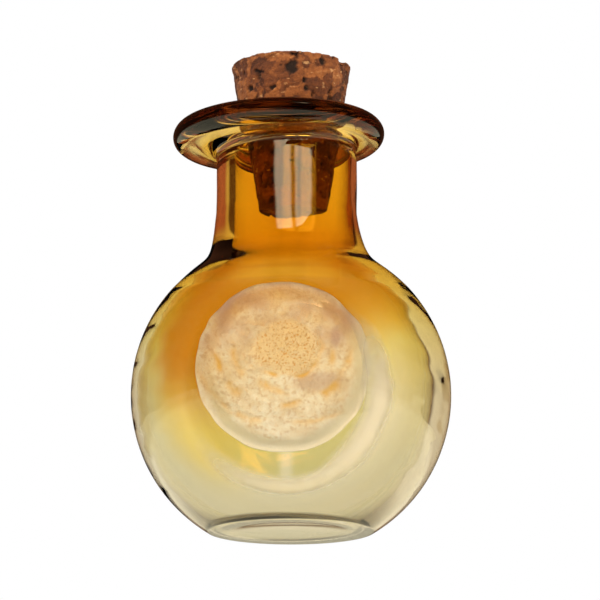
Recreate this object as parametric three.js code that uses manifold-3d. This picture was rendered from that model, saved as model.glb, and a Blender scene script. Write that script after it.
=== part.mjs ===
// A small hand-blown glass bottle with a cork stopper: a round bulb on a flat foot, a short flared neck,
// a wide rolled lip, and a cake of dried sediment inside the bulb, as if the bottle had lain on its back.
// Units are millimetres, +Z is up, the origin is the centre of the foot and the front of the bottle faces -Y.
import * as THREE from "three";
import { mergeVertices } from "three/addons/utils/BufferGeometryUtils.js";
import Module from "manifold-3d";

// Bulb: the outer sphere, its foot and the hollow inside it.
const BULB_RADIUS = 12;
const BULB_CENTRE_Z = 10.3;
const HEEL_RADIUS = 0.4; // rounds the foot's edge into the bulb
const FOOT_INNER_RADIUS = 4.4; // the flat contact ring starts here, round the push-up
const PUSH_UP = 0.3; // how far the middle of the base rises above the rest plane
const CAVITY_RADIUS = 11.1;
const CAVITY_CENTRE_Z = 10.45;
const CAVITY_SHIFT_X = -0.3; // the blown wall is thinner on the left than on the right
const CAVITY_FLOOR_Z = 1;
const CAVITY_HEEL_RADIUS = 1;
const FLOOR_CROWN = 0.3; // the cavity's floor rises this much over the push-up

// Neck: it flares down onto the bulb, and leans a little to the left of the bore.
const NECK_RADIUS = 5.33;
const NECK_FLARE_RADIUS = 6.15; // where the flare meets the bulb
const NECK_FLARE_TOP_Z = 24.5;
const NECK_FLARE_BEND = [5.4, 22.6]; // the curve's control point, as radius and height
const NECK_SHIFT_X = -0.33;
const LEAN_START_Z = 18; // above this the outside leans off and the cavity comes into line with the bore
const BORE_RADIUS = 4.45;
const BORE_BOTTOM_Z = 23.3;
const BORE_BOTTOM_BEND = [4.55, 21.3];
const BORE_TOP_Z = 28.9;
const BORE_TOP_BEND = [4.45, 29.7];
const CAVITY_MOUTH_RADIUS = 5.4; // where the cavity's dome turns up into the bore

// Lip: a flat ring with a rolled rim, off centre and tilted, as tooled by hand.
const RIM_ROLL_RADIUS = 1.02;
const RIM_CENTRE_RADIUS = 7.03;
const RIM_CENTRE_Z = 30.5;
const LIP_RISE = 0.05; // of the lip's underside, from the neck's fillet out to the rim
const LIP_TOP_BEND = [5.6, 31.25];
const LIP_FILLET_RADIUS = 0.7;
const LIP_SHIFT_X = -0.95;
const LIP_BLEND = 1; // the shift and the tilt grow from nothing over this much height, below the rim
const LIP_TILT = THREE.MathUtils.degToRad(1.2); // about Y, lower on the left
const MOUTH_EDGE_RADIUS = 0.55;
const MOUTH_CLEAR_RADIUS = 4.5; // inside this radius the lip stays true to the bore
const MOUTH_TOP_Z = 31.1;
const SEAT_TOP_Z = MOUTH_TOP_Z - MOUTH_EDGE_RADIUS;
const SEAT_BOTTOM_Z = 30;

// Cork stopper: a tapered plug whose top stands above the lip.
const CORK_TOP_Z = 36;
const CORK_LENGTH = 11.9;
const CORK_TOP_RADIUS = 4.62;
const CORK_BOTTOM_RADIUS = 2.6;
const CORK_CHAMFER = 0.25;
const SEAT_GAP = 0.05; // running clearance between the cork and the seat ground into the mouth

// Dried sediment: a cake on the back wall with a thin film running out from under it, just off the glass.
const WALL_GAP = 0.3;
const CAKE_ELEVATION = THREE.MathUtils.degToRad(25); // of the line from the bulb's centre to the cake
const CAKE_BEARING = THREE.MathUtils.degToRad(0.5); // to the left of straight back
const CAKE_RADIUS = 7.1;
const CAKE_RIM_STEP = 0.25; // the face's radius is this much under the back's
const CAKE_FACE_DEPTH = 8.1; // from the cavity's centre to the cake's face at its rim
const CAKE_CROWN = 0.35; // the middle of the face stands proud of the rim by this much
const CAKE_RIPPLE = 0.12; // height of the rings that the drying left
const CAKE_RIPPLE_COUNT = 3;
const FILM_THICKNESS = 0.35;
const FILM_SINK = 0.1; // the film's back stands this far inside the cake's
const FILM_ELEVATION = THREE.MathUtils.degToRad(14.5);
const FILM_BEARING = THREE.MathUtils.degToRad(-0.5);
const FILM_INNER_ANGLE = THREE.MathUtils.degToRad(41); // of its edges, off the film's own axis
const FILM_OUTER_ANGLE = THREE.MathUtils.degToRad(53);

// Facets
const TURN_SEGMENTS = 48;
const SMALL_TURN_SEGMENTS = 32;
const BULB_STEPS = 11;
const RIM_STEPS = 8;
const FLARE_STEPS = 5;
const EDGE_STEPS = 4;
const SMALL_STEPS = 3;
const CAKE_BACK_STEPS = 8;
const CAKE_FACE_STEPS = 12;
const WELD_DISTANCE = 1e-4; // points closer than this are one point

const UP_FROM_Y = new THREE.Matrix4().makeRotationX(Math.PI / 2); // three.js turns a lathe round Y
const FLAT = Math.PI / 2;

const smooth = (low, high, x) => THREE.MathUtils.smoothstep(x, low, high);
const corkRadius = (z) => {
  const share = (CORK_TOP_Z - z) / CORK_LENGTH;
  return CORK_TOP_RADIUS + (CORK_BOTTOM_RADIUS - CORK_TOP_RADIUS) * share;
};

// Points of a profile, as (radius, height), along an arc between two angles measured from the radius axis.
function arc(centreRadius, centreZ, radius, from, to, steps) {
  return Array.from({ length: steps + 1 }, (_, i) => {
    const angle = from + ((to - from) * i) / steps;
    return new THREE.Vector2(centreRadius + radius * Math.cos(angle), centreZ + radius * Math.sin(angle));
  });
}

function curve(start, control, end, steps) {
  const points = [start, control, end].map(([radius, z]) => new THREE.Vector2(radius, z));
  return new THREE.QuadraticBezierCurve(...points).getPoints(steps);
}

// Drops each point that repeats the one before it, where two stretches of a profile meet.
const withoutRepeats = (points) =>
  points.filter((point, i) => i === 0 || point.distanceTo(points[i - 1]) > WELD_DISTANCE);

// A profile turned about +Z.
const turned = (points, segments) => new THREE.LatheGeometry(points, segments).applyMatrix4(UP_FROM_Y);

// The outside of the glass, from the middle of the base up to the top of the mouth's rounded edge.
function outerProfile() {
  const heelOffset = Math.sqrt((BULB_RADIUS - HEEL_RADIUS) ** 2 - (BULB_CENTRE_Z - HEEL_RADIUS) ** 2);
  const heelAngle = Math.atan2(HEEL_RADIUS - BULB_CENTRE_Z, heelOffset);
  const flareZ = BULB_CENTRE_Z + Math.sqrt(BULB_RADIUS ** 2 - NECK_FLARE_RADIUS ** 2);
  const flareAngle = Math.atan2(flareZ - BULB_CENTRE_Z, NECK_FLARE_RADIUS);
  const filletRadius = NECK_RADIUS + LIP_FILLET_RADIUS;
  const filletZ = RIM_CENTRE_Z - RIM_ROLL_RADIUS - LIP_FILLET_RADIUS - LIP_RISE;
  const mouthRadius = corkRadius(SEAT_TOP_Z) + SEAT_GAP + MOUTH_EDGE_RADIUS;
  const rimTop = [RIM_CENTRE_RADIUS, RIM_CENTRE_Z + RIM_ROLL_RADIUS];
  return withoutRepeats([
    ...curve([0, PUSH_UP], [FOOT_INNER_RADIUS / 2, PUSH_UP], [FOOT_INNER_RADIUS, 0], SMALL_STEPS),
    ...arc(heelOffset, HEEL_RADIUS, HEEL_RADIUS, -FLAT, heelAngle, SMALL_STEPS),
    ...arc(0, BULB_CENTRE_Z, BULB_RADIUS, heelAngle, flareAngle, BULB_STEPS),
    ...curve([NECK_FLARE_RADIUS, flareZ], NECK_FLARE_BEND, [NECK_RADIUS, NECK_FLARE_TOP_Z], FLARE_STEPS),
    ...arc(filletRadius, filletZ, LIP_FILLET_RADIUS, Math.PI, FLAT, EDGE_STEPS),
    ...arc(RIM_CENTRE_RADIUS, RIM_CENTRE_Z, RIM_ROLL_RADIUS, -FLAT, FLAT, RIM_STEPS),
    ...curve(rimTop, LIP_TOP_BEND, [mouthRadius, MOUTH_TOP_Z], SMALL_STEPS),
  ]);
}

// The inside of the glass, from the mouth's rounded edge down the seat and bore to the middle of the floor.
function innerProfile() {
  const seatTop = corkRadius(SEAT_TOP_Z) + SEAT_GAP;
  const seatBottom = corkRadius(SEAT_BOTTOM_Z) + SEAT_GAP;
  const domeZ = CAVITY_CENTRE_Z + Math.sqrt(CAVITY_RADIUS ** 2 - CAVITY_MOUTH_RADIUS ** 2);
  const domeAngle = Math.atan2(domeZ - CAVITY_CENTRE_Z, CAVITY_MOUTH_RADIUS);
  const heelZ = CAVITY_FLOOR_Z + CAVITY_HEEL_RADIUS;
  const heelOffset = Math.sqrt((CAVITY_RADIUS - CAVITY_HEEL_RADIUS) ** 2 - (CAVITY_CENTRE_Z - heelZ) ** 2);
  const heelAngle = Math.atan2(heelZ - CAVITY_CENTRE_Z, heelOffset);
  return withoutRepeats([
    ...arc(seatTop + MOUTH_EDGE_RADIUS, SEAT_TOP_Z, MOUTH_EDGE_RADIUS, FLAT, Math.PI, EDGE_STEPS),
    ...curve([seatBottom, SEAT_BOTTOM_Z], BORE_TOP_BEND, [BORE_RADIUS, BORE_TOP_Z], SMALL_STEPS),
    ...curve([BORE_RADIUS, BORE_BOTTOM_Z], BORE_BOTTOM_BEND, [CAVITY_MOUTH_RADIUS, domeZ], EDGE_STEPS),
    ...arc(0, CAVITY_CENTRE_Z, CAVITY_RADIUS, domeAngle, heelAngle, BULB_STEPS),
    ...arc(heelOffset, heelZ, CAVITY_HEEL_RADIUS, heelAngle, -FLAT, SMALL_STEPS),
    new THREE.Vector2(0, CAVITY_FLOOR_Z + FLOOR_CROWN),
  ]);
}

// 0 below the lip and 1 on it, and 0 at the mouth and 1 out from it.
const onLip = (z) => smooth(RIM_CENTRE_Z - RIM_ROLL_RADIUS - LIP_BLEND, RIM_CENTRE_Z - RIM_ROLL_RADIUS, z);
const offMouth = (radius) => smooth(MOUTH_CLEAR_RADIUS, NECK_FLARE_RADIUS, radius);

// How far the hand-blown outside stands off the bore's axis, at a radius and height of the profile.
function outerShift(radius, z) {
  const neck = NECK_SHIFT_X * smooth(LEAN_START_Z, NECK_FLARE_TOP_Z, z);
  const whole = neck + (LIP_SHIFT_X - NECK_SHIFT_X) * onLip(z);
  return whole * THREE.MathUtils.lerp(1, offMouth(radius), onLip(z));
}

const innerShift = (z) => CAVITY_SHIFT_X * (1 - smooth(LEAN_START_Z, BORE_BOTTOM_Z, z));

const lipLift = (radius, x, z) => Math.tan(LIP_TILT) * x * onLip(z) * offMouth(radius);

function glassBottle() {
  const outer = outerProfile();
  const profile = withoutRepeats([...outer, ...innerProfile()]);
  const geometry = turned(profile, TURN_SEGMENTS);
  const position = geometry.getAttribute("position");
  for (let i = 0; i < position.count; i++) {
    const step = i % profile.length;
    const { x: radius, y: z } = profile[step];
    const x = position.getX(i);
    const outside = step < outer.length;
    position.setX(i, x + (outside ? outerShift(radius, z) : innerShift(z)));
    position.setZ(i, z + (outside ? lipLift(radius, x, z) : 0));
  }
  return geometry;
}

function corkStopper() {
  const bottomZ = CORK_TOP_Z - CORK_LENGTH;
  return turned(
    [
      new THREE.Vector2(0, bottomZ),
      new THREE.Vector2(CORK_BOTTOM_RADIUS - CORK_CHAMFER, bottomZ),
      new THREE.Vector2(corkRadius(bottomZ + CORK_CHAMFER), bottomZ + CORK_CHAMFER),
      new THREE.Vector2(corkRadius(SEAT_BOTTOM_Z), SEAT_BOTTOM_Z),
      new THREE.Vector2(corkRadius(CORK_TOP_Z - CORK_CHAMFER), CORK_TOP_Z - CORK_CHAMFER),
      new THREE.Vector2(CORK_TOP_RADIUS - CORK_CHAMFER, CORK_TOP_Z),
      new THREE.Vector2(0, CORK_TOP_Z),
    ],
    TURN_SEGMENTS,
  );
}

// The cake in its own frame: its axis is +Z and the cavity's centre is the origin.
function sedimentCake() {
  const backRadius = CAVITY_RADIUS - WALL_GAP;
  const rimAngle = Math.acos(CAKE_RADIUS / backRadius);
  const face = Array.from({ length: CAKE_FACE_STEPS + 1 }, (_, i) => {
    const share = i / CAKE_FACE_STEPS;
    const crown = CAKE_CROWN * (1 - share ** 2);
    const ripple = CAKE_RIPPLE * Math.sin(share * CAKE_RIPPLE_COUNT * 2 * Math.PI) * (1 - share);
    return new THREE.Vector2((CAKE_RADIUS - CAKE_RIM_STEP) * share, CAKE_FACE_DEPTH - crown - ripple);
  });
  const back = arc(0, 0, backRadius, rimAngle, FLAT, CAKE_BACK_STEPS);
  back.at(-1).setX(0);
  return turned([...face, ...back], SMALL_TURN_SEGMENTS);
}

// The film in its own frame, set up as the cake's is: a thin ring of a sphere.
function sedimentFilm() {
  const outside = CAVITY_RADIUS - WALL_GAP - FILM_SINK;
  const inside = outside - FILM_THICKNESS;
  const start = FLAT - FILM_OUTER_ANGLE;
  const end = FLAT - FILM_INNER_ANGLE;
  const section = [
    ...arc(0, 0, outside, start, end, SMALL_STEPS),
    ...arc(0, 0, inside, end, start, SMALL_STEPS),
  ];
  section.push(section[0].clone());
  return turned(section, SMALL_TURN_SEGMENTS);
}

// Places a shape whose origin is the cavity's centre and whose +Z points at the back wall.
function towardsBackWall(geometry, elevation, bearing) {
  const turn = new THREE.Euler(elevation - FLAT, 0, bearing, "ZXY");
  const place = new THREE.Matrix4().makeRotationFromEuler(turn);
  return geometry.applyMatrix4(place.setPosition(CAVITY_SHIFT_X, 0, CAVITY_CENTRE_Z));
}

// The closed solid of a lathe's mesh, with its seam and poles merged.
function solid(geometry) {
  geometry.deleteAttribute("normal");
  geometry.deleteAttribute("uv");
  const merged = mergeVertices(geometry, WELD_DISTANCE);
  const index = Array.from(merged.index.array);
  const triangles = [];
  for (let i = 0; i < index.length; i += 3) {
    const [a, b, c] = index.slice(i, i + 3);
    if (a !== b && b !== c && c !== a) triangles.push(a, b, c);
  }
  return new wasm.Manifold(
    new wasm.Mesh({
      numProp: 3,
      vertProperties: Float32Array.from(merged.getAttribute("position").array),
      triVerts: Uint32Array.from(triangles),
    }),
  );
}

// The whole deposit: the film is joined to the cake where it runs out from under the cake's edge.
function driedSediment() {
  const cake = solid(towardsBackWall(sedimentCake(), CAKE_ELEVATION, CAKE_BEARING));
  const film = solid(towardsBackWall(sedimentFilm(), FILM_ELEVATION, FILM_BEARING));
  const mesh = cake.add(film).getMesh();
  const geometry = new THREE.BufferGeometry();
  geometry.setAttribute("position", new THREE.BufferAttribute(mesh.vertProperties, 3));
  geometry.setIndex(new THREE.BufferAttribute(mesh.triVerts, 1));
  geometry.computeVertexNormals();
  return geometry;
}

const material = (color, roughness, extra = {}) =>
  new THREE.MeshStandardMaterial({ color, roughness, metalness: 0, ...extra });
const amberGlass = material(0xc98a1c, 0.05, { transparent: true, opacity: 0.45 });
const cork = material(0xa0683c, 0.9);
const paleSediment = material(0xe6cfa4, 0.85);

function named(name, geometry, finish) {
  const mesh = new THREE.Mesh(geometry, finish);
  mesh.name = name;
  return mesh;
}

const wasm = await Module();
wasm.setup();

const bottle = new THREE.Group();
bottle.add(named("glass_bottle", glassBottle(), amberGlass));
bottle.add(named("cork_stopper", corkStopper(), cork));
bottle.add(named("dried_sediment", driedSediment(), paleSediment));

export default bottle;
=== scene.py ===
"""A small hand-blown amber glass bottle with a cork and a dried residue inside, built round its CAD frame.

Sizes are in millimetres in the constants and the profile functions, and in metres in every Blender mesh.
The bottle stands on z = 0 and its front faces -Y.
"""
import math

import bpy
import numpy as np
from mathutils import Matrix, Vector, kdtree, noise


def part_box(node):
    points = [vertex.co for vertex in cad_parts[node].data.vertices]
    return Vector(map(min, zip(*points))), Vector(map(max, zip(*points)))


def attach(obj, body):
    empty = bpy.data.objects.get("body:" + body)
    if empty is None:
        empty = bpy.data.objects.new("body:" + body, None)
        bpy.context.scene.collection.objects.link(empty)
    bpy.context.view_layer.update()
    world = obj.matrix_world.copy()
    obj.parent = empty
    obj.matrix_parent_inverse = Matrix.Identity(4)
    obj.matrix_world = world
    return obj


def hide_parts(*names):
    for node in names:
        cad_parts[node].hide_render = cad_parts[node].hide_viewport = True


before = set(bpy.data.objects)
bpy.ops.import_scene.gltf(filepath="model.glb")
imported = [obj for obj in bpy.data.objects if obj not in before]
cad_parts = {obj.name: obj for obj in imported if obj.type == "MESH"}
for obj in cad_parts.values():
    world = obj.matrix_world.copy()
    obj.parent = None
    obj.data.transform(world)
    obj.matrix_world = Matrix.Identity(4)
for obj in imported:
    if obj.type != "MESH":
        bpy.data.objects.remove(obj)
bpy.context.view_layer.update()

MM = 0.001

# Bulb
BULB_RADIUS = 12.0
BULB_CENTRE_Z = 10.3
HEEL_RADIUS = 0.4
FOOT_INNER_RADIUS = 4.4
PUSH_UP = 0.3
CAVITY_RADIUS = 11.1
CAVITY_CENTRE_Z = 10.45
CAVITY_SHIFT_X = -0.3
CAVITY_FLOOR_Z = 0.75
CAVITY_HEEL_RADIUS = 1.6
FLOOR_CROWN = 0.3

# Neck
NECK_RADIUS = 5.33
NECK_FLARE_RADIUS = 6.15
NECK_FLARE_TOP_Z = 24.5
NECK_FLARE_BEND = (5.4, 22.6)
NECK_BLEND = 1.0
NECK_SHIFT_X = -0.33
LEAN_START_Z = 18.0
BORE_RADIUS = 4.45
BORE_BOTTOM_Z = 23.3
BORE_BOTTOM_BEND = (4.55, 21.3)
BORE_TOP_Z = 28.9
BORE_TOP_BEND = (4.45, 29.7)
CAVITY_MOUTH_RADIUS = 5.4

# Lip
RIM_ROLL_RADIUS = 1.02
RIM_CENTRE_RADIUS = 7.03
RIM_CENTRE_Z = 30.5
LIP_RISE = 0.05
LIP_TOP_BEND = (5.6, 31.25)
LIP_FILLET_RADIUS = 0.7
LIP_SHIFT_X = -0.95
LIP_TILT = math.radians(1.2)
MOUTH_EDGE_RADIUS = 0.55
MOUTH_CLEAR_RADIUS = 4.5
MOUTH_TOP_Z = 31.1
SEAT_TOP_Z = MOUTH_TOP_Z - MOUTH_EDGE_RADIUS
SEAT_BOTTOM_Z = 30.0
SEAT_GAP = 0.05

# Cork, which starts and ends where its CAD solid does
cork_low, cork_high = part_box("cork_stopper")
CORK_TOP_Z = cork_high.z / MM
CORK_BOTTOM_Z = cork_low.z / MM
CORK_TOP_RADIUS = 4.62
CORK_BOTTOM_RADIUS = 2.6
CORK_CHAMFER = 0.12
CORK_SINK = 0.06
GRANULES = 1100
GRANULES_REACH = 5.0
GRANULES_SEED = 7
CRACK_WIDTH = 0.14
CRACK_DEPTH = 0.06
PIT_DEPTH = 0.3
HOLE_DEPTH = 0.18
CHIP_DEPTH = 0.4

# The open holes in the front of the cork's side: x, z and radius
CORK_HOLES = (
    (0.05, 34.7, 0.55),
    (-3.2, 33.5, 0.25),
    (2.5, 35.3, 0.3),
    (1.2, 33.2, 0.2),
)

# Residue. The crust and the film are patches on the back wall, each with its own elevation and bearing.
WALL_GAP = 0.12
CAKE_ELEVATION = math.radians(25)
CAKE_BEARING = math.radians(0.5)
CAKE_RADIUS = 7.1
CRUST_RADIUS = CAKE_RADIUS - WALL_GAP
CRUST_FACE_DEPTH = 8.1
CRUST_CROWN = 0.5
CRUST_THINNEST = 0.06
FILM_ELEVATION = math.radians(14.5)
FILM_BEARING = math.radians(-0.5)
FILM_RADIUS = 8.75
FILM_WIDTH = 2.7
FILM_OFF_WALL = 0.07
FILM_OFF_CRUST = 0.1
FILM_HEAVIEST = (0.6, 0.75)  # the side, right and down, where the film is thickest
HEART_AT = (0.1, -1.8)  # the crust's pitted heart, right and down from the middle of its face
FOLD_DEPTH = 0.12
FOLDS = ((2.3, 0.25, 1.0), (3.3, 0.3, 0.7), (4.6, 0.3, 0.9), (6.2, 0.25, 0.5))  # radius, width and strength
# Greyish-pink patches on the crust: partly its tone and partly painted shade of its lumps.
BLUSH_AND_SHADE_PATCHES = (((2.7, 0.9), (2.6, 1.0), 0.5), ((4.0, -2.6), (0.5, 1.2), 0.4))  # centre, half size and strength

# Waves in the glass: how deep each is, and how much it repeats in a millimetre, along all axes or along each
OUTER_SWELL = (0.03, 0.16)
OUTER_RIPPLE = (0.006, (0.4, 0.4, 0.8))
NECK_RIPPLE = (0.04, (0.25, 0.25, 0.4))
INNER_SWELL = (0.07, 0.2)
INNER_WRINKLE = (0.035, (0.35, 0.35, 1.1))

# Glass colours, and where each starts and ends. The tint deepens from the foot up, and each of its stops has
# its height as a share of TINT_TOP_Z.
TINT_TOP_Z = 32.0
TINT_STOPS = (
    (0.03, (0.78, 0.77, 0.63)),
    (0.16, (0.76, 0.75, 0.58)),
    (0.31, (0.81, 0.77, 0.51)),
    (0.40, (0.84, 0.77, 0.40)),
    (0.47, (0.84, 0.73, 0.25)),
    (0.54, (0.83, 0.56, 0.08)),
    (0.62, (0.83, 0.47, 0.03)),
    (0.78, (0.90, 0.60, 0.08)),
    (1.0, (0.90, 0.60, 0.10)),
)
FRONT_TINT = (1.0, 0.99, 0.97, 1)
FRONT_Y = (-9.2, -6.8)
FRONT_HEIGHT = (0.54, 0.64)
# Painted shadow of the crust on the wall round it: yellow low down and deep amber higher up.
CRUST_SHADOW_LOW = (0.87, 0.70, 0.15, 1)
CRUST_SHADOW_HIGH = (0.62, 0.24, 0.005, 1)
CRUST_SHADOW_CHANGE_Z = (8.0, 15.0)
CRUST_SHADOW_END_Z = (19.5, 22.5)
FILM_SHADE = (0.76, 0.74, 0.38, 1)
# Painted light: the pale yellow under the lip stands in for light coming through it.
LIP_UNDERSIDE = (0.93, 0.78, 0.33, 1)
MAROON_DARK = (0.006, 0.0009, 0.0005, 1)
MAROON_LIGHT = (0.13, 0.012, 0.002, 1)
# The darker outline of the bulb and of the neck's outside is partly the deeper tint of long paths through the
# glass and partly painted shade.
BULB_EDGE = (0.42, 0.20, 0.09, 1)
NECK_EDGE_STOPS = (
    (0.0, (0.91, 0.72, 0.4)),
    (0.24, (1.0, 1.0, 1.0)),
    (0.34, (1.0, 1.0, 1.0)),
    (0.54, (0.20, 0.03, 0.10)),
)
NECK_EDGE_START_Z = (19.5, 23.0)
NECK_EDGE_END_Z = (28.2, 28.9)
GLASS_DEPTH_COLOUR = (0.92, 0.72, 0.38, 1)
GLASS_DENSITY = 150.0

# Cork colours, from the darkest granule to the palest
CORK_STOPS = (
    (0.15, (0.020, 0.006, 0.0022)),
    (0.36, (0.050, 0.014, 0.0045)),
    (0.58, (0.100, 0.028, 0.0065)),
    (0.80, (0.165, 0.052, 0.012)),
    (1.0, (0.28, 0.120, 0.038)),
)
CORK_FLECK = (0.36, 0.19, 0.075, 1)
CORK_CRACK = (0.022, 0.007, 0.003, 1)
CORK_PIT = (0.012, 0.005, 0.003, 1)

# Residue colours
CRUST_DULL = (0.82, 0.71, 0.57, 1)
CRUST_PALE = (0.97, 0.95, 0.92, 1)
CRUST_SPECKLE = (0.66, 0.50, 0.35, 1)
# Greyish pink: partly the crust's tone and partly painted shade of its lumps.
CRUST_BLUSH_AND_SHADE = (0.60, 0.46, 0.46, 1)
CRUST_HEART = (0.90, 0.74, 0.50, 1)
CRUST_PIT = (0.76, 0.42, 0.14, 1)
CRUST_FOLD = (0.84, 0.54, 0.14, 1)
CRUST_RIM_DULL = (0.92, 0.87, 0.76, 1)
CRUST_RIM_PALE = (0.98, 0.96, 0.92, 1)
FILM_DULL = (0.80, 0.84, 0.92, 1)
FILM_PALE = (0.88, 0.92, 1.0, 1)

# Mesh: points round each turned piece, and rings from the middle out or round a section
GLASS_SEGMENTS = 180
CORK_SEGMENTS = 300
CRUST_SEGMENTS = 260
CRUST_RINGS = 120
FILM_SEGMENTS = 300
FILM_RINGS = 28

# Light: the panel behind, the softboxes by the camera, the glow from below and the dim, warm room. Angles are
# in degrees. The panel and the glow fade from the first angle of a pair to the second.
PANEL_LIGHT = 1.03
PANEL_REACH = (37, 46)
PANEL_TOP = (42, 55)
AMBIENT_LIGHT = 2.0
KEY_LIGHT = 1.8
KEY_DIRECTION = (-0.45, -0.87, 0.2)
SOFTBOX_COLOUR = (6.6, 5.6, 3.7, 1)
SOFTBOX_BEARINGS = ((-19, 7), (14, 42))  # the left and right sides of each
SOFTBOX_RAISED = (8, 58)
SOFTBOX_FADE = 3
GLOW_COLOUR = (1.0, 0.92, 0.64, 1)
GLOW_RAISED = (-8, -3)
ROOM_COLOUR = (0.09, 0.03, 0.013, 1)
FLOOR_HALF_SIDE = 600.0
FLOOR_GREY = 0.9
FLOOR_GREY_IN_GLASS = 0.4
FLAG_GREY = 0.002

# The black cards in front of the bulb, in front of the lip and behind the bottle: where each stands on the y
# axis, from where to where it goes across, and from where to where up
FLAGS = (
    (-14.0, (-12.0, 13.0), (5.0, 21.5)),
    (-14.0, (-12.0, 10.0), (31.2, 42.0)),
    (14.0, (-16.0, 16.0), (0.5, 29.0)),
)

# Camera: it looks slightly up at the front, from a little below the foot.
CAMERA_ELEVATION = math.radians(-13)
CAMERA_LENS = 200.0
CAMERA_SENSOR = 36.0
VIEW_WIDTH = 45.0
BULB_LEFT_OF_CENTRE = 0.68
BULB_BELOW_CENTRE = 7.2


# ---------------------------------------------------------------- profiles and meshes


def arc(centre_radius, centre_z, radius, start, end, steps):
    angles = np.linspace(start, end, steps + 1)
    return np.column_stack([centre_radius + radius * np.cos(angles), centre_z + radius * np.sin(angles)])


def curve(start, control, end, steps):
    t = np.linspace(0, 1, steps + 1)[:, None]
    start, control, end = (np.array(p, float) for p in (start, control, end))
    return (1 - t) ** 2 * start + 2 * t * (1 - t) * control + t**2 * end


def line(start, end, steps):
    return np.linspace(start, end, steps + 1)


def joined(*stretches):
    """One profile from several stretches, without the points that repeat where they meet."""
    points = np.vstack(stretches)
    step = np.linalg.norm(np.diff(points, axis=0), axis=1)
    return points[np.concatenate([[True], step > 1e-4])]


def softened(profile, low, high, reach):
    """The profile with its corners between two heights rounded off over about that reach."""
    inside = np.flatnonzero((profile[:, 1] > low) & (profile[:, 1] < high))
    first, last = inside[0], inside[-1] + 1
    stretch = profile[first:last]
    along = np.concatenate([[0], np.cumsum(np.linalg.norm(np.diff(stretch, axis=0), axis=1))])
    even = np.linspace(0, along[-1], round(8 * along[-1] / reach))
    stretch = np.column_stack([np.interp(even, along, stretch[:, 0]), np.interp(even, along, stretch[:, 1])])
    for _ in range(64):
        stretch[1:-1] = (stretch[:-2] + 2 * stretch[1:-1] + stretch[2:]) / 4
    return np.vstack([profile[:first], stretch, profile[last:]])


def smooth(low, high, x):
    t = np.clip((x - low) / (high - low), 0, 1)
    return t * t * (3 - 2 * t)


def cork_radius(z):
    share = (CORK_TOP_Z - z) / (CORK_TOP_Z - CORK_BOTTOM_Z)
    return CORK_TOP_RADIUS + (CORK_BOTTOM_RADIUS - CORK_TOP_RADIUS) * share


def noise_at(points, scale, seed):
    """Smooth noise from -1 to 1 at each point, where scale stretches each axis, per millimetre."""
    offset = Vector((seed * 17.3, seed * -9.1, seed * 5.7))
    scaled = points * np.broadcast_to(scale, 3)
    return np.array([noise.noise(Vector(p) + offset) for p in scaled])


def mesh_object(name, points_mm, faces, material):
    mesh = bpy.data.meshes.new(name)
    mesh.from_pydata((np.asarray(points_mm) * MM).tolist(), [], faces)
    mesh.validate()
    mesh.polygons.foreach_set("use_smooth", [True] * len(mesh.polygons))
    mesh.materials.append(material)
    piece = bpy.data.objects.new(name, mesh)
    bpy.context.scene.collection.objects.link(piece)
    return piece


def ring_faces(rings, segments, first=0):
    """Quads between each ring of points and the next, where a ring is segments points in a row."""
    faces = []
    for ring in range(rings - 1):
        low = first + ring * segments
        for i in range(segments):
            j = (i + 1) % segments
            faces.append((low + i, low + j, low + segments + j, low + segments + i))
    return faces


def turned(profile, angles):
    """A solid of revolution about Z whose profile starts and ends on the axis: its points and faces."""
    segments = len(angles)
    inner = profile[1:-1]
    radius = np.repeat(inner[:, 0], segments)
    z = np.repeat(inner[:, 1], segments)
    turn = np.tile(angles, len(inner))
    points = np.column_stack([radius * np.cos(turn), radius * np.sin(turn), z])
    points = np.vstack([points, [0, 0, profile[0, 1]], [0, 0, profile[-1, 1]]])
    start, end = len(points) - 2, len(points) - 1
    last = (len(inner) - 1) * segments
    faces = ring_faces(len(inner), segments)
    faces += [(start, (i + 1) % segments, i) for i in range(segments)]
    faces += [(end, last + i, last + (i + 1) % segments) for i in range(segments)]
    return points, faces


def set_attribute(piece, name, values):
    attribute = piece.data.attributes.new(name, "FLOAT", "POINT")
    attribute.data.foreach_set("value", np.asarray(values, np.float32))


def normals_of(points, faces):
    """Unit vertex normals of a mesh given as points and faces."""
    normals = np.zeros_like(points)
    for size in (3, 4):
        chosen = np.array([f for f in faces if len(f) == size])
        if not len(chosen):
            continue
        across = points[chosen[:, -1]] - points[chosen[:, 1]]
        along = points[chosen[:, 2]] - points[chosen[:, 0]]
        cross = np.cross(along, across)
        for corner in range(size):
            np.add.at(normals, chosen[:, corner], cross)
    return normals / np.maximum(np.linalg.norm(normals, axis=1, keepdims=True), 1e-12)


# ---------------------------------------------------------------- node helpers


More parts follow.
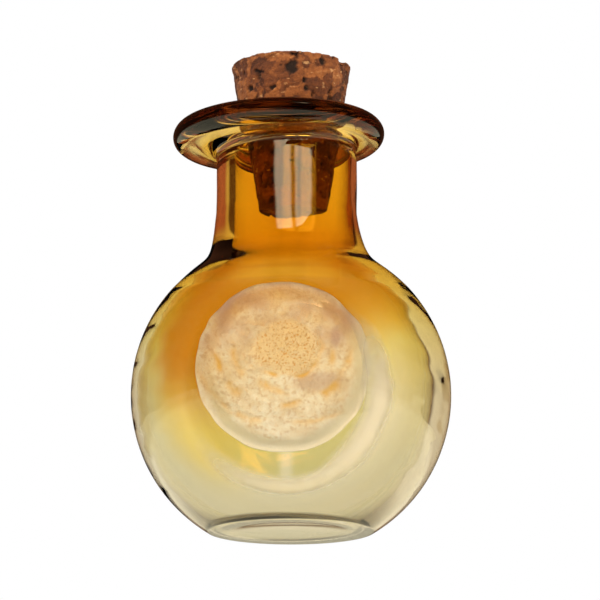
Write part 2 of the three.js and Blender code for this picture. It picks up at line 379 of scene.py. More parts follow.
class Nodes:
    """A short way to write a material's or the world's nodes."""

    def __init__(self, owner):
        owner.use_nodes = True
        self.tree = owner.node_tree
        self.tree.nodes.clear()

    def add(self, kind, inputs=None, **settings):
        node = self.tree.nodes.new("ShaderNode" + kind)
        for key, value in settings.items():
            setattr(node, key, value)
        for key, value in (inputs or {}).items():
            self.put(node.inputs[key], value)
        return node

    def put(self, socket, value):
        if isinstance(value, bpy.types.NodeSocket):
            self.tree.links.new(value, socket)
        else:
            socket.default_value = value

    def maths(self, operation, a, b=0.0, clamp=False):
        node = self.add("Math", {0: a, 1: b}, operation=operation)
        node.use_clamp = clamp
        return node.outputs[0]

    def mix(self, factor, a, b, blend="MIX"):
        node = self.add("Mix", data_type="RGBA", blend_type=blend)
        for index, value in ((0, factor), (6, a), (7, b)):
            self.put(node.inputs[index], value)
        return node.outputs[2]

    def spread(self, value, low, high, to_low=0.0, to_high=1.0):
        """to_low where the value is below low, to_high where it is above high, and smooth in between."""
        inputs = {"Value": value, "From Min": low, "From Max": high, "To Min": to_low, "To Max": to_high}
        return self.add("MapRange", inputs, interpolation_type="SMOOTHSTEP").outputs[0]

    def spread_mm(self, value, low, high, to_low=0.0, to_high=1.0):
        return self.spread(value, low * MM, high * MM, to_low, to_high)

    def ramp(self, value, stops):
        node = self.add("ValToRGB", {"Fac": value})
        elements = node.color_ramp.elements
        while len(elements) < len(stops):
            elements.new(0.5)
        for element, (position, colour) in zip(elements, stops):
            element.position = position
            element.color = (*colour, 1)
        return node.outputs["Color"]

    def attributes(self, *names):
        return [self.add("Attribute", attribute_name=name).outputs["Fac"] for name in names]

    def noise(self, vector, scale, detail=3.0, roughness=0.5):
        inputs = {"Vector": vector, "Scale": scale, "Detail": detail, "Roughness": roughness}
        return self.add("TexNoise", inputs).outputs["Fac"]


def grey(value):
    return (value, value, value, 1)


# ---------------------------------------------------------------- glass


def outer_profile():
    heel_offset = math.sqrt((BULB_RADIUS - HEEL_RADIUS) ** 2 - (BULB_CENTRE_Z - HEEL_RADIUS) ** 2)
    heel_angle = math.atan2(HEEL_RADIUS - BULB_CENTRE_Z, heel_offset)
    flare_z = BULB_CENTRE_Z + math.sqrt(BULB_RADIUS**2 - NECK_FLARE_RADIUS**2)
    flare_angle = math.atan2(flare_z - BULB_CENTRE_Z, NECK_FLARE_RADIUS)
    fillet_radius = NECK_RADIUS + LIP_FILLET_RADIUS
    fillet_z = RIM_CENTRE_Z - RIM_ROLL_RADIUS - LIP_FILLET_RADIUS - LIP_RISE
    rim_top_z = RIM_CENTRE_Z + RIM_ROLL_RADIUS
    mouth_radius = cork_radius(SEAT_TOP_Z) + SEAT_GAP + MOUTH_EDGE_RADIUS
    quarter = math.pi / 2
    return joined(
        curve((0, PUSH_UP), (FOOT_INNER_RADIUS / 2, PUSH_UP), (FOOT_INNER_RADIUS, 0), 12),
        line((FOOT_INNER_RADIUS, 0), (heel_offset, 0), 6),
        arc(heel_offset, HEEL_RADIUS, HEEL_RADIUS, -quarter, heel_angle, 10),
        arc(0, BULB_CENTRE_Z, BULB_RADIUS, heel_angle, flare_angle, 90),
        curve((NECK_FLARE_RADIUS, flare_z), NECK_FLARE_BEND, (NECK_RADIUS, NECK_FLARE_TOP_Z), 18),
        line((NECK_RADIUS, NECK_FLARE_TOP_Z), (NECK_RADIUS, fillet_z), 16),
        arc(fillet_radius, fillet_z, LIP_FILLET_RADIUS, math.pi, quarter, 10),
        arc(RIM_CENTRE_RADIUS, RIM_CENTRE_Z, RIM_ROLL_RADIUS, -quarter, quarter, 32),
        curve((RIM_CENTRE_RADIUS, rim_top_z), LIP_TOP_BEND, (mouth_radius, MOUTH_TOP_Z), 12),
    )


def inner_profile():
    seat_top = cork_radius(SEAT_TOP_Z) + SEAT_GAP
    seat_bottom = cork_radius(SEAT_BOTTOM_Z) + SEAT_GAP
    dome_z = CAVITY_CENTRE_Z + math.sqrt(CAVITY_RADIUS**2 - CAVITY_MOUTH_RADIUS**2)
    dome_angle = math.atan2(dome_z - CAVITY_CENTRE_Z, CAVITY_MOUTH_RADIUS)
    heel_z = CAVITY_FLOOR_Z + CAVITY_HEEL_RADIUS
    crown_z = CAVITY_FLOOR_Z + FLOOR_CROWN
    heel_offset = math.sqrt((CAVITY_RADIUS - CAVITY_HEEL_RADIUS) ** 2 - (CAVITY_CENTRE_Z - heel_z) ** 2)
    heel_angle = math.atan2(heel_z - CAVITY_CENTRE_Z, heel_offset)
    quarter = math.pi / 2
    return joined(
        arc(seat_top + MOUTH_EDGE_RADIUS, SEAT_TOP_Z, MOUTH_EDGE_RADIUS, quarter, math.pi, 8),
        line((seat_top, SEAT_TOP_Z), (seat_bottom, SEAT_BOTTOM_Z), 4),
        curve((seat_bottom, SEAT_BOTTOM_Z), BORE_TOP_BEND, (BORE_RADIUS, BORE_TOP_Z), 12),
        line((BORE_RADIUS, BORE_TOP_Z), (BORE_RADIUS, BORE_BOTTOM_Z), 16),
        curve((BORE_RADIUS, BORE_BOTTOM_Z), BORE_BOTTOM_BEND, (CAVITY_MOUTH_RADIUS, dome_z), 16),
        arc(0, CAVITY_CENTRE_Z, CAVITY_RADIUS, dome_angle, heel_angle, 90),
        arc(heel_offset, heel_z, CAVITY_HEEL_RADIUS, heel_angle, -quarter, 12),
        curve((heel_offset, CAVITY_FLOOR_Z), (heel_offset / 2, crown_z), (0, crown_z), 14),
    )


def lean_outside(points):
    """Moves the outside off the bore's axis and tilts the lip, as the glassmaker's tool left them."""
    x, z = points[:, 0], points[:, 2]
    radius = np.hypot(x, points[:, 1])
    rim_bottom_z = RIM_CENTRE_Z - RIM_ROLL_RADIUS
    on_lip = smooth(rim_bottom_z - 1, rim_bottom_z, z)
    off_mouth = smooth(MOUTH_CLEAR_RADIUS, NECK_FLARE_RADIUS, radius)
    neck = NECK_SHIFT_X * smooth(LEAN_START_Z, NECK_FLARE_TOP_Z, z)
    shift = (neck + (LIP_SHIFT_X - NECK_SHIFT_X) * on_lip) * (1 + (off_mouth - 1) * on_lip)
    lift = math.tan(LIP_TILT) * x * on_lip * off_mouth
    return points + np.column_stack([shift, np.zeros_like(x), lift])


def lean_inside(points):
    shift = CAVITY_SHIFT_X * (1 - smooth(LEAN_START_Z, BORE_BOTTOM_Z, points[:, 2]))
    return points + np.column_stack([shift, 0 * shift, 0 * shift])


def wave(points, shape, seed):
    depth, scale = shape
    return depth * noise_at(points, scale, seed)


def outer_waves(points):
    """How far the outside stands in or out of its true shape. The foot and the top of the lip stay even."""
    z = points[:, 2]
    off_foot = smooth(0.3, 3.0, z)
    off_mouth = 1 - smooth(30.5, 31.3, z)
    on_neck = smooth(21.0, 23.5, z) * (1 - smooth(28.0, 29.0, z))
    swell = wave(points, OUTER_SWELL, 1)
    ripple = wave(points, OUTER_RIPPLE, 2) + wave(points, NECK_RIPPLE, 5) * on_neck
    return (swell + ripple) * off_foot * off_mouth


def inner_waves(points):
    """The same for the inside, which is wavy at the sides of the bulb and nearly even elsewhere."""
    x, z = points[:, 0], points[:, 2]
    least = 0.15
    below_bore = least + (1 - least) * (1 - smooth(21.0, 24.5, z))
    to_side = least + (1 - least) * smooth(6.0, 10.0, np.abs(x))
    off_floor = smooth(1.2, 4.0, z)
    return (wave(points, INNER_SWELL, 3) + wave(points, INNER_WRINKLE, 4)) * to_side * below_bore * off_floor


def glass_material():
    """Straw-coloured at the foot, amber at the neck and maroon in the lip, with the crust's shadow painted on
    the wall round it.
    """
    material = bpy.data.materials.new("amber_glass")
    n = Nodes(material)
    place = n.add("TexCoord").outputs["Object"]
    x, y, z = (n.add("SeparateXYZ", {0: place}).outputs[i] for i in range(3))
    uneven = n.maths("SUBTRACT", n.noise(place, 150.0, 2.0), 0.5)
    tint = height_tint(n, y, z, uneven)
    # Painted shadow of the crust on the wall round it, deepest above it and to its left.
    shadow_colour = n.mix(n.spread_mm(z, *CRUST_SHADOW_CHANGE_Z), CRUST_SHADOW_LOW, CRUST_SHADOW_HIGH)
    tint = n.mix(painted_crust_shadow(n, (x, y, z), uneven), tint, shadow_colour)
    tint = n.mix(film_shade(n, (x, y, z)), tint, FILM_SHADE, "MULTIPLY")
    tint = lip_tint(n, place, (x, y, z), uneven, tint)
    tint = n.mix(1.0, tint, edge_tint(n, (x, y, z)), "MULTIPLY")
    scuffed = n.spread_mm(z, 0.05, 0.4, 0.12, 0.0)
    principled = n.add(
        "BsdfPrincipled",
        {"Base Color": tint, "Roughness": scuffed, "IOR": 1.5, "Transmission Weight": 1.0},
    )
    absorption = n.add("VolumeAbsorption", {"Color": GLASS_DEPTH_COLOUR, "Density": GLASS_DENSITY})
    n.add("OutputMaterial", {"Surface": principled.outputs[0], "Volume": absorption.outputs[0]})
    return material


def height_tint(n, y, z, uneven):
    """The colour by height. The front of the bulb is almost clear, up to its shoulder."""
    height = n.maths("ADD", n.maths("MULTIPLY", z, 1 / (TINT_TOP_Z * MM)), n.maths("MULTIPLY", uneven, 0.12))
    front = n.spread_mm(y, *FRONT_Y, 0.95, 0.0)
    front = n.maths("MULTIPLY", front, n.spread(height, *FRONT_HEIGHT, 1.0, 0.0))
    return n.mix(front, n.ramp(height, TINT_STOPS), FRONT_TINT)


def along_wall(n, place, elevation, bearing):
    """1 at the middle of a patch on the cavity's wall, and less the further round the wall from there."""
    outward = back_wall_axes(elevation, bearing)[2]
    along = 0.0
    for axis, distance, centre in zip(outward, place, (CAVITY_SHIFT_X, 0, CAVITY_CENTRE_Z)):
        offset = n.maths("SUBTRACT", distance, centre * MM)
        share = n.maths("MULTIPLY", offset, float(axis) / (CAVITY_RADIUS * MM))
        along = n.maths("ADD", along, share)
    return along


def from_axis(n, x, y, axis_x):
    """How far a place is from an upright axis."""
    across = n.add("CombineXYZ", {0: n.maths("SUBTRACT", x, axis_x * MM), 1: y}).outputs[0]
    return n.add("VectorMath", {0: across}, operation="LENGTH").outputs["Value"]


def lip_tint(n, place, parts, uneven, tint):
    """The tint with a pale yellow under the lip, painted light coming through it, and streaky maroon in its
    rolled rim.
    """
    x, y, z = parts
    out = n.maths("ADD", from_axis(n, x, y, LIP_SHIFT_X), n.maths("MULTIPLY", uneven, 0.002))
    # Painted light under the lip: a pale yellow where light comes through.
    under = n.spread_mm(out, NECK_RADIUS + 0.6, NECK_RADIUS + 1.2)
    under = n.maths("MULTIPLY", under, n.spread_mm(z, RIM_CENTRE_Z - 2.0, RIM_CENTRE_Z - 1.2))
    rim = n.spread_mm(out, RIM_CENTRE_RADIUS - 1.2, RIM_CENTRE_RADIUS - 0.6)
    rim = n.maths("MULTIPLY", rim, n.spread_mm(z, RIM_CENTRE_Z - 1.0, RIM_CENTRE_Z - 0.5))
    streaks = n.spread(n.noise(place, 600.0, 3.0, 0.6), 0.35, 0.7)
    return n.mix(rim, n.mix(under, tint, LIP_UNDERSIDE), n.mix(streaks, MAROON_DARK, MAROON_LIGHT))


def edge_tint(n, parts):
    """Deeper colour where glass is seen edge-on: in the bulb's outline and in the outside of the neck."""
    x, y, z = parts
    facing = n.add("LayerWeight", {"Blend": 0.5}).outputs["Facing"]
    # The bulb's darker outline: partly the deeper tint of a long path through the glass, partly painted
    # shade.
    bulb = n.mix(n.spread(facing, 0.75, 1.0), grey(1.0), BULB_EDGE)
    from_neck = from_axis(n, x, y, 0.5 * NECK_SHIFT_X)
    outside = n.spread_mm(from_neck, BORE_RADIUS + 0.2, BORE_RADIUS + 0.4)
    # The neck's darker edges: partly the deeper tint of a long path through the glass, partly painted shade.
    neck = n.mix(outside, grey(1.0), n.ramp(facing, NECK_EDGE_STOPS))
    neck = n.mix(n.spread_mm(z, *NECK_EDGE_END_Z), neck, grey(1.0))
    return n.mix(n.spread_mm(z, *NECK_EDGE_START_Z), bulb, neck)


def painted_crust_shadow(n, place, uneven):
    """1 on the wall just outside the crust, most of all above it and to its left: the crust's painted shadow.
    """
    x, _, z = place
    along = along_wall(n, place, CAKE_ELEVATION, CAKE_BEARING)
    ring = n.spread(n.maths("ADD", along, n.maths("MULTIPLY", uneven, 0.12)), 0.30, 0.66)
    ring = n.maths("MULTIPLY", ring, n.spread_mm(z, *CRUST_SHADOW_END_Z, 1.0, 0.0))
    slant = n.maths("MULTIPLY", n.maths("SUBTRACT", z, 10 * MM), 0.8)
    to_right = n.spread_mm(n.maths("SUBTRACT", x, slant), -6.0, 4.0)
    return n.maths("MULTIPLY", ring, n.maths("SUBTRACT", 1.0, to_right))


def film_shade(n, place):
    """1 on the back wall between the crust and the ring of film below it, apart from one clear streak."""
    x, y, _ = place
    along = along_wall(n, place, FILM_ELEVATION, FILM_BEARING)
    inside = n.maths("MULTIPLY", n.spread(along, 0.72, 0.80), n.spread_mm(y, 0.0, 2.0))
    from_streak = n.maths("ABSOLUTE", n.maths("ADD", x, 0.1 * MM))
    streak = n.spread_mm(from_streak, 0.1, 0.9, 0.35, 1.0)
    return n.maths("MULTIPLY", inside, streak)


def blown_glass():
    angles = np.linspace(0, 2 * math.pi, GLASS_SEGMENTS, endpoint=False)
    outer = softened(outer_profile(), LEAN_START_Z, NECK_FLARE_TOP_Z, NECK_BLEND)
    inner = softened(inner_profile(), LEAN_START_Z - 1, BORE_BOTTOM_Z + 1, NECK_BLEND)
    profile = joined(outer, inner)
    points, faces = turned(profile, angles)
    in_outer = np.arange(1, len(profile) - 1) < len(outer)
    outside = np.append(np.repeat(in_outer, len(angles)), [True, False])
    waves = np.where(outside, outer_waves(points), inner_waves(points))
    points = points + normals_of(points, faces) * waves[:, None]
    points = np.where(outside[:, None], lean_outside(points), lean_inside(points))
    return mesh_object("blown_glass", points, faces, glass_material())


# ---------------------------------------------------------------- cork


def cork_material():
    """Red-brown granules: granule is each one's shade, seam is 1 in the cracks and pit is 1 in the holes."""
    material = bpy.data.materials.new("cork")
    n = Nodes(material)
    place = n.add("TexCoord").outputs["Object"]
    granule, seam, pit = n.attributes("granule", "seam", "pit")
    slanted = {"Vector": place, "Scale": (1.0, 1.0, 2.2), "Rotation": (0.3, 0.4, 0.0)}
    grain = n.add("Mapping", slanted).outputs[0]
    streaks = n.noise(grain, 900.0, 5.0, 0.6)
    fine = n.noise(place, 3200.0, 4.0, 0.65)
    shade = n.maths("ADD", n.maths("MULTIPLY", granule, 0.5), n.maths("MULTIPLY", streaks, 0.6))
    shade = n.maths("ADD", shade, n.maths("MULTIPLY", n.maths("SUBTRACT", fine, 0.5), 0.55))
    flecks = n.spread(n.noise(grain, 1500.0, 2.0, 0.5), 0.64, 0.72)
    colour = n.mix(n.maths("MULTIPLY", flecks, 0.65), n.ramp(shade, CORK_STOPS), CORK_FLECK)
    colour = n.mix(n.maths("MULTIPLY", seam, 0.75), colour, CORK_CRACK)
    colour = n.mix(pit, colour, CORK_PIT)
    bump = n.add("Bump", {"Strength": 0.6, "Distance": 0.2 * MM, "Height": n.maths("ADD", fine, streaks)})
    principled = n.add(
        "BsdfPrincipled",
        {"Base Color": colour, "Roughness": 0.85, "Normal": bump.outputs[0], "Specular IOR Level": 0.2},
    )
    n.add("OutputMaterial", {"Surface": principled.outputs[0]})
    return material


def granule_tree():
    """Centres of the cork's granules, each with a shade from 0, dark, to 1, light."""
    rng = np.random.default_rng(GRANULES_SEED)
    low = (-GRANULES_REACH, -GRANULES_REACH, CORK_BOTTOM_Z - 1)
    high = (GRANULES_REACH, GRANULES_REACH, CORK_TOP_Z + 1)
    centres = rng.uniform(low, high, (GRANULES, 3))
    tree = kdtree.KDTree(GRANULES)
    for i, centre in enumerate(centres):
        tree.insert(centre, i)
    tree.balance()
    return tree, rng.beta(1.6, 1.6, GRANULES)


def granules_at(points):
    """The shade of the granule at each point, and its seam: 1 on the crack between two granules."""
    tree, shades = granule_tree()
    granule, seam = [], []
    for p in points:
        (_, nearest, near), (_, _, far) = tree.find_n(Vector(p), 2)
        granule.append(shades[nearest])
        seam.append(1 - min((far - near) / CRACK_WIDTH, 1))
    return np.array(granule), np.array(seam)


def cork_profile():
    side_top_z = CORK_TOP_Z - CORK_CHAMFER
    return joined(
        line((0, CORK_BOTTOM_Z), (CORK_BOTTOM_RADIUS - CORK_CHAMFER, CORK_BOTTOM_Z), 24),
        line((CORK_BOTTOM_RADIUS, CORK_BOTTOM_Z + CORK_CHAMFER), (cork_radius(side_top_z), side_top_z), 130),
        line((CORK_TOP_RADIUS - CORK_CHAMFER, CORK_TOP_Z), (0, CORK_TOP_Z), 40),
    )


def cork_holes(points, warp, ragged):
    """1 in the open holes: small ones all over, and the larger ones in front."""
    holes = smooth(0.5, 0.6, noise_at(points, 1.6, 23))
    in_front = points[:, 1] < 0
    for x, z, radius in CORK_HOLES:
        far = np.hypot(points[:, 0] + 0.2 * warp[:, 0] - x, points[:, 2] + 0.2 * warp[:, 1] - z) / radius
        holes = np.maximum(holes, (1 - smooth(0.7, 1.1, far + 0.3 * ragged[:, 0])) * in_front)
    return holes


def cork_chips(points):
    """1 where the edge of the cork's top is chipped."""
    near_top = smooth(CORK_TOP_Z - 0.9, CORK_TOP_Z - 0.1, points[:, 2])
    near_side = smooth(CORK_TOP_RADIUS - 1.2, CORK_TOP_RADIUS - 0.1, np.hypot(points[:, 0], points[:, 1]))
    return smooth(0.15, 0.45, noise_at(points, 0.7, 22)) * near_top * near_side


def granulated_cork():
    """The plug, with cracks between its granules, pits, holes and chips cut into it."""
    points, faces = turned(cork_profile(), np.linspace(0, 2 * math.pi, CORK_SEGMENTS, endpoint=False))
    warp = np.column_stack([noise_at(points, 0.9, seed) for seed in (11, 12, 13)])
    ragged = np.column_stack([noise_at(points, 3.5, seed) for seed in (14, 15, 16)])
    granule, seam = granules_at(points + 0.8 * warp + 0.16 * ragged)
    seam *= smooth(-0.15, 0.35, noise_at(points, 0.8, 20))
    pits = smooth(0.32, 0.42, noise_at(points, (0.8, 0.8, 0.65), 21))
    pits *= smooth(-0.3, 0.1, noise_at(points, 1.7, 24))
    holes = cork_holes(points, warp, ragged)
    depth = CORK_SINK + 0.05 * noise_at(points, 1.6, 25) + 0.025 * noise_at(points, 4.5, 26)
    depth += CRACK_DEPTH * seam + PIT_DEPTH * pits + HOLE_DEPTH * holes + CHIP_DEPTH * cork_chips(points)
    points = points - normals_of(points, faces) * np.maximum(depth, 0.0)[:, None]
    piece = mesh_object("granulated_cork", points, faces, cork_material())
    set_attribute(piece, "granule", granule)
    set_attribute(piece, "seam", seam**2)
    set_attribute(piece, "pit", np.clip(0.8 * pits + holes, 0, 1))
    return piece


# ---------------------------------------------------------------- residue


def back_wall_axes(elevation, bearing):
    """Right, down and outward unit vectors for a patch on the back wall, seen from the front."""
    out = np.array(
        [
            -math.sin(bearing) * math.cos(elevation),
            math.cos(bearing) * math.cos(elevation),
            math.sin(elevation),
        ]
    )
    right = np.array([math.cos(bearing), math.sin(bearing), 0])
    return right, np.cross(out, right), out


def on_back_wall(local, elevation, bearing):
    axes = np.array(back_wall_axes(elevation, bearing))
    return local @ axes + np.array([CAVITY_SHIFT_X, 0, CAVITY_CENTRE_Z])


def crust_material():
    """Chalk: heart is 1 where it is pitted, groove in its yellow folds, blush_and_shade in its greyish-pink
    patches, which are partly its tone and partly painted shade of its lumps, and rim on its smooth whitish
    border.
    """
    material = bpy.data.materials.new("pale_sediment")
    n = Nodes(material)
    place = n.add("TexCoord").outputs["Object"]
    heart, groove, blush_and_shade, rim = n.attributes("heart", "groove", "blush_and_shade", "rim")
    fine = n.noise(place, 6500.0, 2.0, 0.5)
    speckle = n.noise(place, 2600.0, 4.0, 0.65)
    cloudy = n.noise(place, 450.0, 6.0, 0.7)
    stringy = n.noise(place, 1100.0, 2.0, 0.5)
    pits = n.maths("ADD", n.maths("MULTIPLY", heart, 0.6), 0.12)
    pits = n.maths("MULTIPLY", n.spread(fine, 0.53, 0.66), pits)
    folds = n.maths("MULTIPLY", groove, n.spread(stringy, 0.3, 0.6, 0.45, 1.0), clamp=True)
    colour = n.mix(n.spread(cloudy, 0.35, 0.65), CRUST_DULL, CRUST_PALE)
    colour = n.mix(n.spread(speckle, 0.50, 0.64, 0.0, 0.6), colour, CRUST_SPECKLE)
    # Greyish-pink patches, partly the crust's tone and partly painted shade of its lumps.
    colour = n.mix(blush_and_shade, colour, CRUST_BLUSH_AND_SHADE)
    colour = n.mix(n.maths("MULTIPLY", heart, 0.8), colour, CRUST_HEART)
    colour = n.mix(pits, colour, CRUST_PIT)
    colour = n.mix(folds, colour, CRUST_FOLD)
    colour = n.mix(rim, colour, n.mix(cloudy, CRUST_RIM_DULL, CRUST_RIM_PALE))
    grain = n.maths("SUBTRACT", n.maths("ADD", n.maths("MULTIPLY", fine, 0.5), speckle), pits)
    bump = n.add("Bump", {"Strength": 0.8, "Distance": 0.12 * MM, "Height": grain})
    principled = n.add(
        "BsdfPrincipled",
        {"Base Color": colour, "Roughness": 0.9, "Normal": bump.outputs[0], "Specular IOR Level": 0.2},
    )
    n.add("OutputMaterial", {"Surface": principled.outputs[0]})
    return material


def film_material():
    """Thin chalk that fades at the film's edges, where veil goes to 0."""
    material = bpy.data.materials.new("sediment_film")
    n = Nodes(material)
    [veil] = n.attributes("veil")
    cloudy = n.noise(n.add("TexCoord").outputs["Object"], 300.0, 4.0, 0.5)
    opacity = n.maths("MULTIPLY", veil, n.spread(cloudy, 0.2, 0.5, 0.7, 1.0), clamp=True)
    colour = n.mix(cloudy, FILM_DULL, FILM_PALE)
    principled = n.add(
        "BsdfPrincipled",
        {"Base Color": colour, "Roughness": 0.9, "Alpha": opacity, "Specular IOR Level": 0.1},
    )
    n.add("OutputMaterial", {"Surface": principled.outputs[0]})
    return material


def patch(x, y, centre, size):
    """A round patch that falls from 1 near its centre to 0 at its edge."""
    far = np.hypot((x - centre[0]) / size[0], (y - centre[1]) / size[1])
    return 1 - smooth(0.45, 1.0, far)


def crust_folds(flat, from_heart, below):
    """The broken folds, which curve round the heart and are faint above it."""
    folds = 0.0
    for distance, width, strength in FOLDS:
        ridge = np.exp(-(((from_heart - distance) / width) ** 2))
        broken = smooth(-0.25, 0.25, noise_at(flat, 0.55, 40 + distance))
        folds = folds + strength * ridge * (0.12 + 0.88 * below) * broken
    return folds


def crust_relief(x, y, share):
    """The face's height, and its looks, from 0 to 1. x is right and y is down, from its middle."""
    flat = np.column_stack([x, y, 0 * x])
    slow_x, slow_y = (noise_at(flat, 0.35, seed) for seed in (33, 34))
    ragged = noise_at(flat, 1.3, 35)
    heart_x, heart_y = HEART_AT
    across = x + 0.5 * slow_x - heart_x
    down = y + 0.5 * slow_y - heart_y
    from_heart = np.hypot(across / 1.2, down) + 0.12 * ragged
    heart = 1 - smooth(1.6, 2.4, from_heart)
    folds = crust_folds(flat, from_heart, smooth(-1.5, 1.2, down))
    rim = smooth(0.74, 0.92, share + 0.03 * ragged + 0.05 * slow_x) * smooth(-2.5, 2.5, y + 0.5 * x)
    upper = 1 - smooth(-4.0, 0.0, y)
    # The upper part is darker greyish pink: partly the crust's tone and partly painted shade of its lumps.
    blush_and_shade = upper * (0.5 + 0.8 * noise_at(flat, 0.7, 45))
    for centre, size, strength in BLUSH_AND_SHADE_PATCHES:
        blush_and_shade += strength * patch(x, y, centre, size)
    small = (0.08 + 0.05 * upper) * noise_at(flat, 1.3, 44) + 0.045 * noise_at(flat, 3.2, 48)
    lumps = 0.15 * noise_at(flat, 0.45, 43) + small * (1 - 0.8 * rim)
    height = lumps - FOLD_DEPTH * folds + 0.1 * rim - 0.08 * heart
    looks = {"heart": heart, "groove": folds * (1 - rim), "blush_and_shade": blush_and_shade * (1 - 0.7 * heart), "rim": rim}
    return height, {name: np.clip(look, 0, 1) for name, look in looks.items()}


def face_depth(share, wall):
    """How far the crust's face is from the cavity's centre, before its relief. Its edge falls to the wall."""
    crowned = CRUST_FACE_DEPTH - CRUST_CROWN * (1 - share**4)
    return crowned + (wall - CRUST_FACE_DEPTH) * smooth(0.72, 1.0, share) ** 2


def before_crust(points):
    """Points on the wall, given from the cavity's centre, drawn in to lie just before the crust's face."""
    out = back_wall_axes(CAKE_ELEVATION, CAKE_BEARING)[2]
    depth = points @ out
    share = np.linalg.norm(points - depth[:, None] * out, axis=1) / CRUST_RADIUS
    face = face_depth(np.minimum(share, 1), depth) - FILM_OFF_CRUST
    over_crust = share < 1.04
    return points * np.where(over_crust, np.minimum(1, face / depth), 1.0)[:, None]


def sediment_crust():
    """The crust: a face, and a back on the wall, each of rings round a middle point, joined at the edge."""
    share = np.repeat(np.linspace(0, 1, CRUST_RINGS + 1)[1:], CRUST_SEGMENTS)
    turn = np.tile(np.linspace(0, 2 * math.pi, CRUST_SEGMENTS, endpoint=False), CRUST_RINGS)
    edge = np.column_stack([np.cos(turn), np.sin(turn), 0 * turn])
    uneven = 1 + 0.012 * noise_at(edge, 1.0, 31) + 0.004 * noise_at(edge, 5, 32)
    radius = CRUST_RADIUS * share * uneven
    x, y = radius * np.cos(turn), radius * np.sin(turn)
    height, looks = crust_relief(x, y, share)
    back_radius = CAVITY_RADIUS - WALL_GAP
    wall = np.sqrt(back_radius**2 - radius**2)
    face = face_depth(share, wall) - height * (1 - smooth(0.75, 0.95, share))
    depth = np.minimum(face, wall - CRUST_THINNEST)
    front = np.column_stack([x, y, depth])
    back = np.column_stack([x, y, wall])
    middles = [[0, 0, depth[:CRUST_SEGMENTS].mean()], [0, 0, back_radius]]
    placed = on_back_wall(np.vstack([front, back, middles]), CAKE_ELEVATION, CAKE_BEARING)
    piece = mesh_object("sediment_crust", placed, crust_faces(), crust_material())
    for name, look in looks.items():
        set_attribute(piece, name, np.concatenate([look, look, [look[:CRUST_SEGMENTS].mean(), 0]]))
    return piece


def crust_faces():
    count = CRUST_RINGS * CRUST_SEGMENTS
    front_edge = count - CRUST_SEGMENTS
    back_edge = count + front_edge
    front_middle, back_middle = 2 * count, 2 * count + 1
    faces = [tuple(reversed(face)) for face in ring_faces(CRUST_RINGS, CRUST_SEGMENTS)]
    faces += ring_faces(CRUST_RINGS, CRUST_SEGMENTS, count)
    for i in range(CRUST_SEGMENTS):
        j = (i + 1) % CRUST_SEGMENTS
        faces.append((front_middle, i, j))
        faces.append((back_middle, count + j, count + i))
        faces.append((front_edge + j, front_edge + i, back_edge + i, back_edge + j))
    return faces


def sediment_film():
    """A thin ring of chalk on the back wall, over the crust's lower right edge. It fades out on the left."""
    turn = np.linspace(0, 2 * math.pi, FILM_SEGMENTS, endpoint=False)
    edge = np.column_stack([np.cos(turn), np.sin(turn), 0 * turn])
    outer = FILM_RADIUS + 0.08 * noise_at(edge, 0.9, 46)
    width = FILM_WIDTH * (0.6 + 0.4 * smooth(0.1, 0.8, np.cos(turn)) + 0.1 * noise_at(edge, 1.0, 47))
    there = patch(np.cos(turn), np.sin(turn), FILM_HEAVIEST, (1.6, 1.6))
    axes = np.array(back_wall_axes(FILM_ELEVATION, FILM_BEARING))
    points, veil = [], []
    for s in np.linspace(-math.pi, math.pi, FILM_RINGS, endpoint=False):
        radius = outer - width / 2 + width / 2 * math.cos(s)
        wall = np.sqrt((CAVITY_RADIUS - WALL_GAP) ** 2 - radius**2)
        on_wall = np.column_stack([radius * np.cos(turn), radius * np.sin(turn), wall - FILM_OFF_WALL])
        points.append(before_crust(on_wall @ axes) * (1 - 0.004 * math.sin(s)))
        from_inside = (1 + math.cos(s)) / 2
        veil.append(there * smooth(0.0, 0.6, from_inside) * (1 - smooth(0.7, 1.0, from_inside)))
    centre = np.array([CAVITY_SHIFT_X, 0, CAVITY_CENTRE_Z])
    piece = mesh_object("sediment_film", np.vstack(points) + centre, film_faces(), film_material())
    set_attribute(piece, "veil", np.concatenate(veil))
    return piece


def film_faces():
    last = (FILM_RINGS - 1) * FILM_SEGMENTS
    faces = ring_faces(FILM_RINGS, FILM_SEGMENTS)
    for i in range(FILM_SEGMENTS):
        j = (i + 1) % FILM_SEGMENTS
        faces.append((last + i, last + j, j, i))
    return faces


# ---------------------------------------------------------------- stage, light and camera


def floor():
    """A pale floor, darker where it is seen through the glass, and clear from below."""
    material = bpy.data.materials.new("floor")
    n = Nodes(material)
    rays = n.add("LightPath").outputs
    plain = n.maths("ADD", rays["Is Camera Ray"], rays["Diffuse Depth"], clamp=True)
    pale = n.add("BsdfDiffuse", {"Color": n.mix(plain, grey(FLOOR_GREY_IN_GLASS), grey(FLOOR_GREY))})
    clear = n.add("BsdfTransparent")
    below = n.add("NewGeometry").outputs["Backfacing"]
    both = n.add("MixShader", {0: below, 1: pale.outputs[0], 2: clear.outputs[0]})
    n.add("OutputMaterial", {"Surface": both.outputs[0]})
    side = FLOOR_HALF_SIDE
    corners = [(-side, -side, 0), (side, -side, 0), (side, side, 0), (-side, side, 0)]
    plane = mesh_object("floor", corners, [(0, 1, 2, 3)], material)
    plane.visible_glossy = False


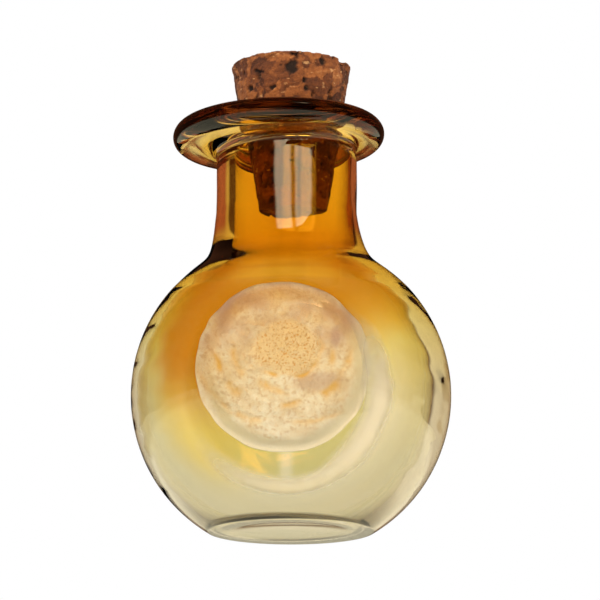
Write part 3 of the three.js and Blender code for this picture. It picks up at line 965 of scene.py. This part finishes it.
def black_flags():
    """Black cards that keep the softboxes and the glow from below off parts of the glass.

    Reflections see them all, rays through the glass see those in front, and scattered light passes them.
    """
    material = bpy.data.materials.new("flag")
    n = Nodes(material)
    black = n.add("BsdfDiffuse", {"Color": grey(FLAG_GREY)})
    scattered = n.maths("MINIMUM", n.add("LightPath").outputs["Diffuse Depth"], 1.0)
    seen = n.add("MixShader", {0: scattered, 1: black.outputs[0], 2: n.add("BsdfTransparent").outputs[0]})
    n.add("OutputMaterial", {"Surface": seen.outputs[0]})
    for number, (stand, (left, right), (low, high)) in enumerate(FLAGS):
        corners = [(x, stand, z) for x, z in ((left, low), (right, low), (right, high), (left, high))]
        card = mesh_object(f"black_flag_{number}", corners, [(0, 1, 2, 3)], material)
        card.visible_camera = False
        card.visible_diffuse = False
        card.visible_shadow = False
        card.visible_transmission = stand < 0


def back_panel(n, x, y, raised):
    """The light of the panel behind. It is a little dimmer to its sides, and fades out beside and above."""
    aside = n.maths("DEGREES", n.maths("ARCTAN2", n.maths("ABSOLUTE", x), y))
    panel = n.spread(aside, 14, 30, PANEL_LIGHT, 0.88 * PANEL_LIGHT)
    panel = n.maths("MULTIPLY", panel, n.spread(aside, *PANEL_REACH, 1.0, 0.0))
    return n.maths("MULTIPLY", panel, n.spread(raised, *PANEL_TOP, 1.0, 0.0))


def scattered_light(n, towards):
    """What lights the matte pieces: the same from all sides, and more from the left of the camera."""
    key = n.add("VectorMath", {0: towards, 1: KEY_DIRECTION}, operation="DOT_PRODUCT").outputs["Value"]
    key = n.maths("POWER", n.maths("MAXIMUM", key, 0.0), 2.0)
    return n.maths("ADD", AMBIENT_LIGHT, n.maths("MULTIPLY", key, KEY_LIGHT))


def softboxes(n, x, y, raised):
    """1 in the softboxes, which are rectangles of directions with soft edges, and 0 outside them."""
    bearing = n.maths("DEGREES", n.maths("ARCTAN2", x, n.maths("MULTIPLY", y, -1.0)))
    boxes = 0.0
    for sides in SOFTBOX_BEARINGS:
        inside = 1.0
        for angle, (start, end) in ((bearing, sides), (raised, SOFTBOX_RAISED)):
            inside = n.maths("MULTIPLY", inside, n.spread(angle, start - SOFTBOX_FADE, start + SOFTBOX_FADE))
            past_end = n.spread(angle, end - SOFTBOX_FADE, end + SOFTBOX_FADE, 1.0, 0.0)
            inside = n.maths("MULTIPLY", inside, past_end)
        boxes = n.maths("ADD", boxes, inside)
    return boxes


def studio():
    """A bright panel behind the bottle, softboxes by the camera, a glow from below, and a dim, warm room.

    Rays through the glass see the panel, and reflections see the softboxes and the glow. The matte pieces get
    light of their own, and the camera sees white.
    """
    world = bpy.data.worlds.new("studio")
    bpy.context.scene.world = world
    n = Nodes(world)
    towards = n.add("TexCoord").outputs["Generated"]
    x, y, z = (n.add("SeparateXYZ", {0: towards}).outputs[i] for i in range(3))
    raised = n.maths("DEGREES", n.maths("ARCSINE", z))
    rays = n.add("LightPath").outputs
    scattered = n.maths("MINIMUM", rays["Diffuse Depth"], 1.0)
    unscattered = n.maths("SUBTRACT", 1.0, scattered)
    through = n.maths("MULTIPLY", back_panel(n, x, y, raised), rays["Is Transmission Ray"])
    light = n.maths("MAXIMUM", through, n.maths("MULTIPLY", scattered_light(n, towards), scattered))
    shown = n.add("CombineXYZ", {0: light, 1: light, 2: light}).outputs[0]
    shown = n.mix(1.0, shown, ROOM_COLOUR, "ADD")
    shown = n.mix(n.maths("MULTIPLY", softboxes(n, x, y, raised), unscattered), shown, SOFTBOX_COLOUR)
    glow = n.maths("MULTIPLY", n.spread(raised, *GLOW_RAISED, 1.0, 0.0), rays["Is Glossy Ray"])
    shown = n.mix(n.maths("MULTIPLY", glow, unscattered), shown, GLOW_COLOUR)
    shown = n.mix(rays["Is Camera Ray"], shown, grey(1.0))
    background = n.add("Background", {"Color": shown})
    n.add("OutputWorld", {"Surface": background.outputs[0]})


def camera():
    data = bpy.data.cameras.new("camera")
    data.lens = CAMERA_LENS
    data.sensor_width = CAMERA_SENSOR
    data.clip_start = MM
    viewer = bpy.data.objects.new("camera", data)
    bpy.context.scene.collection.objects.link(viewer)
    forward = Vector((0, math.cos(CAMERA_ELEVATION), -math.sin(CAMERA_ELEVATION)))
    up = Vector((0, math.sin(CAMERA_ELEVATION), math.cos(CAMERA_ELEVATION)))
    distance = VIEW_WIDTH / CAMERA_SENSOR * CAMERA_LENS
    target = Vector((BULB_LEFT_OF_CENTRE, 0, BULB_CENTRE_Z)) + up * BULB_BELOW_CENTRE
    viewer.location = (target - forward * distance) * MM
    viewer.rotation_euler = (math.pi / 2 - CAMERA_ELEVATION, 0, 0)
    bpy.context.scene.camera = viewer


# ---------------------------------------------------------------- the object

camera()
studio()
floor()
black_flags()
bpy.context.scene.view_settings.view_transform = "Standard"

glass = blown_glass()
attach(glass, "bottle")
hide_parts("glass_bottle")

stopper = granulated_cork()
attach(stopper, "stopper")
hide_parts("cork_stopper")

crust = sediment_crust()
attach(crust, "bottle")
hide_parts("dried_sediment")

film = sediment_film()
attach(film, "bottle")
